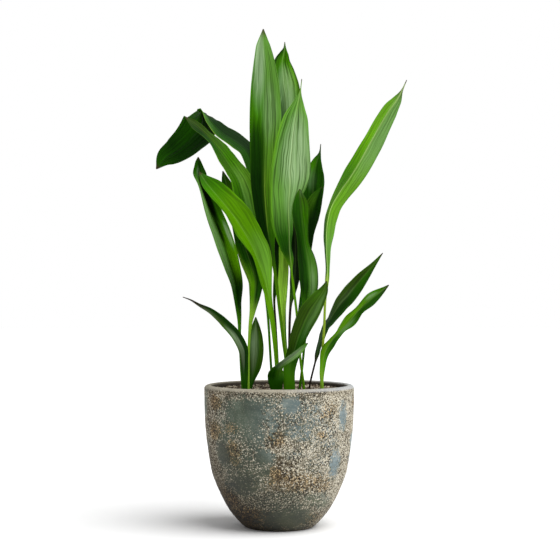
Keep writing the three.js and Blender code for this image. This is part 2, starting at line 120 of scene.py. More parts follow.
def smooth_line(points, places, even=True):
    """Points on the smooth curve through the given ones, evenly spaced or not, at places 0 to 1."""
    points = np.asarray(points, float)
    last = len(points) - 1
    padded = np.vstack([2 * points[0] - points[1], points, 2 * points[-1] - points[-2]])
    spot = np.clip(np.asarray(places, float), 0, 1) * last
    index = np.minimum(spot.astype(int), last - 1)
    part = (spot - index)[:, None]
    before, start, end, after = (padded[index + step] for step in range(4))
    if even:
        leave = (end - before) / 2
        arrive = (after - start) / 2
    else:
        first, middle, final = (
            np.sqrt(np.linalg.norm(b - a, axis=1))[:, None]
            for a, b in ((before, start), (start, end), (end, after))
        )
        leave = (start - before) / first - (end - before) / (first + middle) + (end - start) / middle
        arrive = (end - start) / middle - (after - start) / (middle + final) + (after - end) / final
        leave = leave * middle
        arrive = arrive * middle
    square = 3 * (end - start) - 2 * leave - arrive
    cube = 2 * (start - end) + leave + arrive
    return start + part * leave + part**2 * square + part**3 * cube


def lengths_along(line):
    """How far along a line each of its points lies."""
    return np.concatenate([[0], np.cumsum(np.linalg.norm(np.diff(line, axis=0), axis=1))])


def evenly_spaced(line, step):
    """The line drawn again with points about one step apart."""
    lengths = lengths_along(line)
    marks = np.linspace(0, lengths[-1], max(2, round(lengths[-1] / step) + 1))
    return np.stack([np.interp(marks, lengths, line[:, axis]) for axis in (0, 1)], axis=1)


pot_outline = smooth_line(POT_OUTSIDE, np.linspace(0, 1, POT_OUTLINE_POINTS))
pot_side = evenly_spaced(pot_outline, POT_ROW_STEP)


def outer_radius(height):
    return np.interp(height, pot_side[:, 1], pot_side[:, 0])


def inside_profile(margin, heights):
    """The pot's inside from under the lip to the middle of its floor, drawn in by a margin."""
    wall = [(outer_radius(height) - WALL - margin, height) for height in heights]
    floor_top = FLOOR_THICKNESS + margin
    corner = (outer_radius(WALL_FOOT) - WALL - FLOOR_CORNER - margin, floor_top)
    return wall + [corner, (corner[0] / 2, floor_top), (0, floor_top)]


def turned(profile, columns):
    """Vertices in mm and faces of a profile, from axis to axis, turned round Z."""
    angles = np.linspace(0, 2 * math.pi, columns, endpoint=False)
    rings = np.asarray(profile[1:-1], float)
    around = np.stack([np.sin(angles), -np.cos(angles)], axis=1)
    points = np.concatenate(
        [rings[:, None, :1] * around[None], np.repeat(rings[:, None, 1:], columns, axis=1)], axis=2
    ).reshape(-1, 3)
    points = np.vstack([points, [(0, 0, profile[0][1]), (0, 0, profile[-1][1])]])
    column = np.arange(columns)
    beside = (column + 1) % columns
    faces = []
    for ring in range(len(rings) - 1):
        low = ring * columns
        high = low + columns
        faces += np.stack([low + column, low + beside, high + beside, high + column], axis=1).tolist()
    first_pole = len(points) - 2
    last = (len(rings) - 1) * columns
    faces += [(first_pole, int(b), int(a)) for a, b in zip(column, beside)]
    faces += [(first_pole + 1, last + int(a), last + int(b)) for a, b in zip(column, beside)]
    return points, faces


def rough_noise(points, length, settings, seed=0):
    """Noise at each point with features of about a length, and settings for its finer layers."""
    return np.array([noise.fractal(Vector(p) / length + Vector((seed, 0, 0)), *settings) for p in points])


def patch_cover(points, patches, length, seed, strength):
    """How much of a glaze patch lies at each point: listed on the front, by noise behind."""
    radius = np.maximum(np.hypot(points[:, 0], points[:, 1]), 1)
    azimuth = np.arctan2(points[:, 0], -points[:, 1])
    ragged = rough_noise(points, PATCH_EDGE_LENGTH, EDGE_LAYERS)
    listed = np.zeros(len(points))
    for x, z, half_width, half_height, amount in patches:
        middle = math.asin(x / outer_radius(z))
        reach = half_width / max(math.cos(middle), LEAST_COSINE)
        off = np.hypot((azimuth - middle) * radius / reach, (points[:, 2] - z) / half_height)
        listed = np.maximum(listed, amount * ease(*PATCH_FADE, off + PATCH_RAGGEDNESS * ragged))
    wild = rough_noise(points, length, BACK_LAYERS, seed) + BACK_RAGGEDNESS * ragged
    wild = ease(*BACK_COVER, wild)
    front = 1 - ease(*BACK_FROM, np.abs(azimuth))
    return listed * front + wild * (1 - front) * strength


def new_object(name, data):
    """An object made of the data, in the scene."""
    made = bpy.data.objects.new(name, data)
    bpy.context.scene.collection.objects.link(made)
    return made


def make_piece(name, points, faces, attributes=None):
    """A smooth mesh object from points in mm, with its named values on the points."""
    mesh = bpy.data.meshes.new(name)
    mesh.from_pydata((np.asarray(points) * MM).tolist(), [], faces)
    mesh.shade_smooth()
    for label, values in (attributes or {}).items():
        values = np.asarray(values, np.float32)
        if values.ndim == 1:
            mesh.attributes.new(label, "FLOAT", "POINT").data.foreach_set("value", values)
        else:
            whole = np.hstack([values, np.ones((len(values), 1), np.float32)])
            mesh.attributes.new(label, "FLOAT_COLOR", "POINT").data.foreach_set("color", whole.ravel())
    return new_object(name, mesh)


def put_in_place(piece, material, node):
    """The finished piece gets its material and stands for one node of the frame."""
    piece.data.materials.clear()
    piece.data.materials.append(material)
    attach(piece, "root")
    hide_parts(node)


def pot_body():
    """The pot's mesh, with how blue, how rusty and how far inside the lip each point is, the last for
    painted shade.
    """
    lip_angles = np.linspace(0, math.pi, LIP_STEPS + 1)[1:]
    lip = np.stack([
        RIM_RADIUS - WALL / 2 + WALL / 2 * np.cos(lip_angles),
        POT_HEIGHT - LIP_ROUNDING + LIP_ROUNDING * np.sin(lip_angles),
    ], axis=1)
    base = [(0, 0), *((radius, 0) for radius in BASE_RINGS)]
    points, faces = turned([*base, *pot_side, *lip, *inside_profile(0, INSIDE_HEIGHTS)], POT_COLUMNS)

    radii = np.hypot(points[:, 0], points[:, 1])
    outward = radii > outer_radius(points[:, 2]) - WALL / 2 - 1
    glazed = outward & (points[:, 2] > GLAZE_FOOT)
    blue = np.zeros(len(points))
    rust = np.zeros(len(points))
    blue[glazed] = patch_cover(points[glazed], BLUE_PATCHES, **BACK_BLUE)
    rust[glazed] = patch_cover(points[glazed], RUST_PATCHES, **BACK_RUST)
    # inner sets where painted shade lies inside the rim.
    inner = ease(POT_HEIGHT, POT_HEIGHT - LIP_ROUNDING / 2, points[:, 2]) * ~outward

    grain = rough_noise(points, CRUST_GRAIN, CRUST_LAYERS)
    swell = np.array([noise.noise(Vector(p) / WOBBLE_LENGTH) for p in points])
    relief = WOBBLE * swell + CRUST_RELIEF * grain * (1 - SMOOTHED_BY_BLUE * blue)
    relief = np.minimum(np.where(glazed, relief, 0), MOST_RELIEF)
    points[:, :2] *= (1 + relief / np.maximum(radii, 1))[:, None]
    return make_piece("pot_glazed", points, faces, {"blue": blue, "rust": rust, "inner": inner})


def join(tree, node, inputs):
    """The node, with its inputs set or joined to other nodes' outputs."""
    for label, value in inputs.items():
        if isinstance(value, bpy.types.NodeSocket):
            tree.links.new(value, node.inputs[label])
        else:
            node.inputs[label].default_value = value
    return node


def add_node(tree, kind, inputs=None, **settings):
    """A new node with its settings and its inputs."""
    made = tree.nodes.new(kind)
    for label, value in settings.items():
        setattr(made, label, value)
    return join(tree, made, inputs or {})


def new_material(name):
    """An empty material with a Principled shader, its node tree and that shader."""
    material = bpy.data.materials.new(name)
    material.use_nodes = True
    tree = material.node_tree
    return material, tree, tree.nodes["Principled BSDF"]


def named_value(tree, name, output="Fac"):
    """A value that the mesh carries at its points."""
    return add_node(tree, "ShaderNodeAttribute", attribute_name=name).outputs[output]


def own_place(tree):
    """Where a point of the object lies, in metres."""
    return add_node(tree, "ShaderNodeTexCoord").outputs["Object"]


def clouds(tree, place, scale, detail, output="Fac"):
    """Noise over the surface, its scale in waves a metre."""
    node = add_node(tree, "ShaderNodeTexNoise", {"Vector": place, "Scale": scale, "Detail": detail})
    return node.outputs[output]


def colour_ramp(tree, factor, stops):
    """A ramp through colours at places from 0 to 1."""
    ramp = add_node(tree, "ShaderNodeValToRGB", {"Fac": factor})
    elements = ramp.color_ramp.elements
    while len(elements) < len(stops):
        elements.new(1)
    for element, (place, colour) in zip(elements, stops):
        element.position = place
        element.color = (*colour, 1)
    return ramp.outputs["Color"]


def mixed(tree, factor, first, second, blend="MIX"):
    """Two colours mixed by a factor."""
    first, second = (colour if isinstance(colour, bpy.types.NodeSocket) else (*colour, 1)
                     for colour in (first, second))
    inputs = {0: factor, 6: first, 7: second}
    return add_node(tree, "ShaderNodeMix", inputs, data_type="RGBA", blend_type=blend).outputs[2]


def maths(tree, operation, *values):
    return add_node(tree, "ShaderNodeMath", dict(enumerate(values)), operation=operation).outputs[0]


def weighed(tree, *parts):
    """The sum of values, each times its own weight."""
    total = 0.0
    for value, weight in parts:
        total = maths(tree, "MULTIPLY_ADD", value, weight, total)
    return total


def spread_over(tree, value, low, high, bottom=0.0, top=1.0):
    """The value stretched from one range to another, and held inside it."""
    return add_node(tree, "ShaderNodeMapRange", {
        "Value": value, "From Min": low, "From Max": high, "To Min": bottom, "To Max": top,
    }).outputs[0]


def bumps(tree, height, strength, distance):
    """The surface's normal, tilted by a height that is at most the distance in metres."""
    node = add_node(tree, "ShaderNodeBump", {"Height": height, "Strength": strength, "Distance": distance})
    return node.outputs["Normal"]


PIT = linear(40, 33, 22)
GROUND = linear(72, 61, 42)
BEIGE = linear(142, 134, 113)
CREAM = linear(216, 209, 190)
TEAL_GROUND = linear(66, 80, 70)
TEAL_STOPS = [(0.3, linear(38, 48, 32)), (0.5, linear(63, 76, 60)), (0.7, linear(94, 107, 92))]
BLUE_STOPS = [(0.3, linear(84, 104, 110)), (0.5, linear(110, 127, 131)), (0.7, linear(146, 158, 160))]
RUST_TINT = linear(238, 214, 178)
# BASE_SHADE, LOW_OLIVE_SHADE, UNDER_LIP_SHADE and INSIDE_SHADE are painted shade; the lip tones are partly
# a painted highlight.
BASE_SHADE = linear(100, 84, 50)
LOW_OLIVE_SHADE = linear(180, 174, 128)
UNDER_LIP_SHADE = linear(170, 160, 140)
LIP_AND_HIGHLIGHT_LEFT = linear(168, 161, 144)
LIP_AND_HIGHLIGHT_RIGHT = linear(176, 179, 182)
INSIDE_SHADE = linear(58, 49, 37)

# Scales of the glaze's patterns in waves a metre, and heights in metres.
SPECKS = 700.0
CLOUDS = 34.0
LUMPS = 210.0
GRANULES = 380.0
PITS = 240.0
PITTED_AREAS = 22.0
THROWING_RINGS = (14.0, 14.0, 190.0)
LUMP_SHIFT = (0.004, 0.004, 0.004)
SHADE_UNDER_LIP = (0.262, 0.273)
LIP_EDGE = (0.276, 0.2795)
CRUST_BUMP = 0.0008


def pot_glaze():
    """Pale granules and dark pits over brown, with rusty places, smooth patches on top, and painted light
    and shade.
    """
    material, tree, shader = new_material("crusty_glaze")
    place = own_place(tree)
    sideways, _, height = add_node(tree, "ShaderNodeSeparateXYZ", {"Vector": place}).outputs
    speck = clouds(tree, place, SPECKS, 2.0)
    cloud = clouds(tree, place, CLOUDS, 5.0)
    lumps = clouds(tree, place, LUMPS, 3.0, "Color")
    shaken = add_node(tree, "ShaderNodeVectorMath", {0: lumps, 1: LUMP_SHIFT}, operation="MULTIPLY")
    moved = add_node(tree, "ShaderNodeVectorMath", {0: place, 1: shaken.outputs[0]}).outputs[0]
    grains = add_node(tree, "ShaderNodeTexVoronoi", {"Vector": moved, "Scale": GRANULES}).outputs
    chances = add_node(tree, "ShaderNodeSeparateColor", {"Color": grains["Color"]}).outputs
    granule = spread_over(tree, grains["Distance"], 0.2, 0.54, 1.0, 0.0)
    thrown = add_node(tree, "ShaderNodeMapping", {"Vector": place, "Scale": THROWING_RINGS}).outputs[0]
    rings = clouds(tree, thrown, 1.0, 2.0)
    blue = named_value(tree, "blue")
    rust = named_value(tree, "rust")

    # The crust: light granules on darker ground, lighter towards the right as painted light.
    light = weighed(tree, (granule, 0.8), (chances[0], 0.5), (cloud, 0.7), (rings, 0.3), (speck, 0.4),
                    (spread_over(tree, sideways, 0.0, 0.13), 0.24))
    light = spread_over(tree, light, 0.93, 1.6)
    ground = mixed(tree, spread_over(tree, blue, 0.05, 0.5), GROUND, TEAL_GROUND)
    crust = mixed(tree, spread_over(tree, light, 0.0, 0.5), ground, BEIGE)
    crust = mixed(tree, spread_over(tree, light, 0.45, 1.0), crust, CREAM)

    # Its pits, more of them in some areas and in the rusty patches, and the rust's tint.
    holes = add_node(tree, "ShaderNodeTexVoronoi", {"Vector": moved, "Scale": PITS}).outputs["Distance"]
    holes = weighed(tree, (holes, 1.0), (rust, -0.1))
    pitted = clouds(tree, place, PITTED_AREAS, 3.0)
    pit_share = maths(tree, "MULTIPLY", spread_over(tree, holes, 0.5, 0.3),
                      spread_over(tree, pitted, 0.4, 0.55, 0.25, 1.0))
    crust = mixed(tree, pit_share, crust, PIT)
    rust_share = spread_over(tree, weighed(tree, (rust, 1.0), (chances[1], -0.6)), -0.1, 0.3)
    crust = mixed(tree, rust_share, crust, RUST_TINT, "MULTIPLY")

    # The smooth glaze, teal on the left and blue-grey on the right, the darker left partly painted shade;
    # olive and darker low down and towards the left, as painted shade with an olive tint.
    smooth_tone = weighed(tree, (cloud, 0.6), (speck, 0.2), (rings, 0.2))
    smooth = mixed(tree, spread_over(tree, sideways, -0.07, 0.1),
                   colour_ramp(tree, smooth_tone, TEAL_STOPS), colour_ramp(tree, smooth_tone, BLUE_STOPS))
    # low is height raised towards the lit right, so the painted shade that follows it reaches higher on the
    # left.
    low = weighed(tree, (height, 1.0), (sideways, 0.55), (cloud, 0.06))
    smooth = mixed(tree, spread_over(tree, low, 0.19, 0.14), smooth, LOW_OLIVE_SHADE, "MULTIPLY")
    blue_share = spread_over(
        tree, weighed(tree, (blue, 1.4), (chances[2], -0.85), (speck, 0.3)), 0.22, 0.72, 0.0, 0.92)
    colour = mixed(tree, blue_share, crust, smooth)

    # Painted shade at the base and under the lip, a painted highlight on the lip, and painted shade inside.
    colour = mixed(tree, spread_over(tree, low, 0.15, 0.005), colour, BASE_SHADE, "MULTIPLY")
    under_lip_shade = spread_over(tree, height, *SHADE_UNDER_LIP, 0.0, 0.3)
    colour = mixed(tree, under_lip_shade, colour, UNDER_LIP_SHADE, "MULTIPLY")
    # The lip's tone: partly its own plainer colour, partly a painted highlight that is lighter on the
    # right.
    lip = mixed(tree, spread_over(tree, sideways, 0.0, 0.12), LIP_AND_HIGHLIGHT_LEFT, LIP_AND_HIGHLIGHT_RIGHT)
    colour = mixed(tree, spread_over(tree, height, *LIP_EDGE, 0.0, 0.72), colour, lip)
    # Painted shade over the inside of the rim.
    colour = mixed(tree, named_value(tree, "inner"), colour, INSIDE_SHADE)

    raised = weighed(tree, (granule, 0.7), (chances[0], 0.3), (pit_share, -0.8))
    raised = maths(tree, "MULTIPLY", raised, spread_over(tree, blue_share, 0.0, 1.0, 1.0, 0.12))
    join(tree, shader, {
        "Base Color": colour, "Roughness": spread_over(tree, blue_share, 0.0, 1.0, 0.85, 0.5),
        "Normal": bumps(tree, raised, 0.6, CRUST_BUMP),
    })
    return material


put_in_place(pot_body(), pot_glaze(), "pot")

# Potting mix
# Damp bark and peat with pale grit, filled to just under the rim. The body fills the pot's
# inside, and loose granules lie on its top.
SOIL_TOP = 275
SOIL_GAP = 0.3
SOIL_COLUMNS = 96
SOIL_RINGS = (0.15, 0.3, 0.45, 0.6, 0.75, 0.9, 1)
SOIL_INSIDE_HEIGHTS = [262, 240, 191, 151, 111, 72, WALL_FOOT]
GRANULE_BED = 1.5
GRANULES_APART = 0.0036
GRANULE_SIZES = (0.0013, 0.0034)
GRANULE_SHAPES = ((0.6, 0.6, 0.5), (1.5, 1.2, 0.9))
ANY_TURN = (6.28, 6.28, 6.28)
GRANULE_DENSITY = 200000.0
FACING_UP = 0.8
SOIL_SEED = 5
SOIL_STOPS = [
    (0.0, linear(32, 24, 16)), (0.3, linear(66, 52, 38)), (0.55, linear(106, 90, 71)),
    (0.8, linear(152, 138, 116)), (1.0, linear(200, 190, 172)),
]
SOIL_MOTTLE = 260.0
SOIL_BUMP = 0.0006


def soil_finish():
    """Dull mottled brown, with a tone of its own for each granule."""
    material, tree, shader = new_material("potting_mix")
    mottle = clouds(tree, own_place(tree), SOIL_MOTTLE, 4.0)
    tone = maths(tree, "MULTIPLY_ADD", mottle, 0.5, named_value(tree, "granule_tone"))
    join(tree, shader, {
        "Base Color": colour_ramp(tree, maths(tree, "SUBTRACT", tone, 0.2), SOIL_STOPS),
        "Roughness": 0.9, "Normal": bumps(tree, mottle, 0.4, SOIL_BUMP),
    })
    return material


def granule_tree(material):
    """Scatters rough granules over the upward faces of a body of potting mix."""
    tree = bpy.data.node_groups.new("granules", "GeometryNodeTree")
    tree.interface.new_socket("Geometry", in_out="INPUT", socket_type="NodeSocketGeometry")
    for name, kind in (("Apart", "NodeSocketFloat"), ("Smallest", "NodeSocketFloat"),
                       ("Largest", "NodeSocketFloat"), ("Seed", "NodeSocketInt")):
        tree.interface.new_socket(name, in_out="INPUT", socket_type=kind)
    tree.interface.new_socket("Geometry", in_out="OUTPUT", socket_type="NodeSocketGeometry")
    given = add_node(tree, "NodeGroupInput").outputs
    normal = add_node(tree, "GeometryNodeInputNormal").outputs["Normal"]
    facing = add_node(tree, "ShaderNodeSeparateXYZ", {"Vector": normal}).outputs["Z"]
    upward = add_node(tree, "FunctionNodeCompare", {"A": facing, "B": FACING_UP},
                      data_type="FLOAT", operation="GREATER_THAN").outputs["Result"]
    points = add_node(tree, "GeometryNodeDistributePointsOnFaces",
                      {"Mesh": given["Geometry"], "Selection": upward, "Distance Min": given["Apart"],
                       "Density Max": GRANULE_DENSITY, "Seed": given["Seed"]}, distribute_method="POISSON")
    lump = add_node(tree, "GeometryNodeMeshIcoSphere", {"Radius": 1.0, "Subdivisions": 1})
    turn = add_node(tree, "FunctionNodeRandomValue", {0: (0, 0, 0), 1: ANY_TURN, "Seed": 1},
                    data_type="FLOAT_VECTOR").outputs[0]
    shape = add_node(tree, "FunctionNodeRandomValue",
                     {0: GRANULE_SHAPES[0], 1: GRANULE_SHAPES[1], "Seed": 2},
                     data_type="FLOAT_VECTOR").outputs[0]
    size = add_node(tree, "FunctionNodeRandomValue",
                    {2: given["Smallest"], 3: given["Largest"], "Seed": 3}, data_type="FLOAT").outputs[1]
    scale = add_node(tree, "ShaderNodeVectorMath", {0: shape, "Scale": size}, operation="SCALE").outputs[0]
    strewn = add_node(tree, "GeometryNodeInstanceOnPoints",
                      {"Points": points.outputs["Points"], "Instance": lump.outputs["Mesh"],
                       "Rotation": turn, "Scale": scale}).outputs["Instances"]
    tone = add_node(tree, "FunctionNodeRandomValue", {"Seed": 4}, data_type="FLOAT").outputs[1]
    toned = add_node(tree, "GeometryNodeStoreNamedAttribute",
                     {"Geometry": strewn, "Name": "granule_tone", "Value": tone},
                     data_type="FLOAT", domain="INSTANCE")
    joined = add_node(tree, "GeometryNodeJoinGeometry")
    tree.links.new(given["Geometry"], joined.inputs[0])
    tree.links.new(toned.outputs["Geometry"], joined.inputs[0])
    real = add_node(tree, "GeometryNodeRealizeInstances", {"Geometry": joined.outputs["Geometry"]})
    finished = add_node(tree, "GeometryNodeSetMaterial",
                        {"Geometry": real.outputs["Geometry"], "Material": material})
    add_node(tree, "NodeGroupOutput", {"Geometry": finished.outputs["Geometry"]})
    return tree


def set_by_nodes(piece, tree, **values):
    """The plain mesh that a geometry tree makes of a piece, with the tree's named inputs set."""
    modifier = piece.modifiers.new("nodes", "NODES")
    modifier.node_group = tree
    for socket in tree.interface.items_tree:
        if socket.name in values and socket.in_out == "INPUT":
            modifier[socket.identifier] = values[socket.name]
    evaluated = piece.evaluated_get(bpy.context.evaluated_depsgraph_get())
    mesh = bpy.data.meshes.new_from_object(evaluated)
    piece.modifiers.remove(modifier)
    piece.data = mesh


bed_height = SOIL_TOP - GRANULE_BED
bed_radius = outer_radius(SOIL_TOP) - WALL - SOIL_GAP
bed = [(0, bed_height), *((bed_radius * share, bed_height) for share in SOIL_RINGS)]
soil_profile = [*bed, *inside_profile(SOIL_GAP, SOIL_INSIDE_HEIGHTS)]
soil = make_piece("potting_mix", *turned(soil_profile[::-1], SOIL_COLUMNS))
soil_material = soil_finish()
set_by_nodes(soil, granule_tree(soil_material), Apart=GRANULES_APART, Smallest=GRANULE_SIZES[0],
             Largest=GRANULE_SIZES[1], Seed=SOIL_SEED)
put_in_place(soil, soil_material, "soil")

# Leaves
# Each leaf rises from the mix on a stalk of its own and opens into one long tough blade,
# folded a little along its light midrib, pleated by its veins and waved at its edges.
# Sizes are in mm, and EYE is where the photograph was taken from.
EYE = (1.5, -3000, 492)
FOOT_DEPTH = 30
STALK_RISE = 1
BLADE_ROW_STEP = 4
STALK_ROW_STEP = 12
COLUMN_WIDTH = 2.0
FEWEST_COLUMNS = 12
LOOK_AHEAD = 1e-4
LEAST_WIDTH = 0.8
BLADE_THICKNESS = 0.9
EDGE_THINNING = 0.5
RIB_DEPTH = 0.8
RIB_WIDTH = 1.6
CREASE_DEPTH = 0.35
CREASED_FROM = 30
WAVED_FROM = 20
WAVE_LAG = 0.15
RIPPLE_HEIGHT = 0.35
RIPPLES = 9
PLEAT_SPACING = 11
PLEATED_FROM = 40
PLEAT_SWAY = 0.12
SWAYS = 1.7
FINER_PLEATS = 1.7
FINER_PLEAT_HEIGHT = 0.5
FOLD_ROUNDING = 0.04
SHARPEST_FOLD = 50

# Tones of the blades and stalks, and where each kind of tone goes over the others. The dark tones serve
# mostly as painted shade and the pale ones mostly as painted light; PAINTED_SHEEN_TONE is a painted sheen.
SHADES = {
    "black": linear(10, 24, 2), "deep": linear(20, 50, 2), "dark": linear(34, 78, 2),
    "dusk": linear(44, 68, 14), "olive": linear(54, 90, 18), "mid": linear(60, 114, 8),
    "spring": linear(76, 124, 6), "bright": linear(88, 144, 8), "fresh": linear(94, 146, 34),
    "lime": linear(128, 174, 50), "glow": linear(176, 240, 76), "straw": linear(140, 168, 52),
    "soft": linear(92, 140, 56), "pale": linear(122, 164, 92), "steel": linear(80, 106, 66),
    "ash": linear(62, 76, 50), "plum": linear(46, 40, 32), "brown": linear(64, 52, 38),
}
RIB_TONE = linear(178, 208, 122)
PAINTED_SHEEN_TONE = linear(178, 200, 164)
HALVES_BLEND = 0.28
MARK_FADE = (1.3, 0.4)
RIB_REACH = 1.3
MARGIN = (0.93, 1.0)
MARGIN_LIGHT = 0.2
TIP = (0.965, 0.995)
STALK_SHADING = 0.35


@dataclass
class Leaf:
    """One leaf as the part has it, and the tones of its finish.

    A station is x and z as the photograph shows them, depth, width, and any turn and fold, in
    mm and degrees. blade is the blade's first station, and wave the height, number and start
    of the waves along its edges. rib is how light its midrib is, pleat how high its pleats
    are, and stalk the stalk's width and thickness. tones are its left and right halves, or
    both in one word, from base to tip, painted light and shade among them: a half or leaf
    turned to the light is lighter, one turned away or deep in the clump darker. marks are soft
    patches of another tone: middle across (-1 to 1) and along (0 to 1), reach across and along,
    tone and strength; the dark ones are mostly painted shade in folds and on turned-away parts,
    the light ones mostly painted light on lit strips and edges, and the brown and plum ones
    dried tips. painted_highlights is the same for a painted sheen, without a tone.
    """
    name: str
    slot: str
    foot: tuple
    blade: int
    wave: tuple
    rib: float
    pleat: float
    tones: str
    stations: list
    stalk: tuple = (5, 4.5)
    stalk_tone: str = "mid"
    marks: tuple = ()
    painted_highlights: tuple = ()


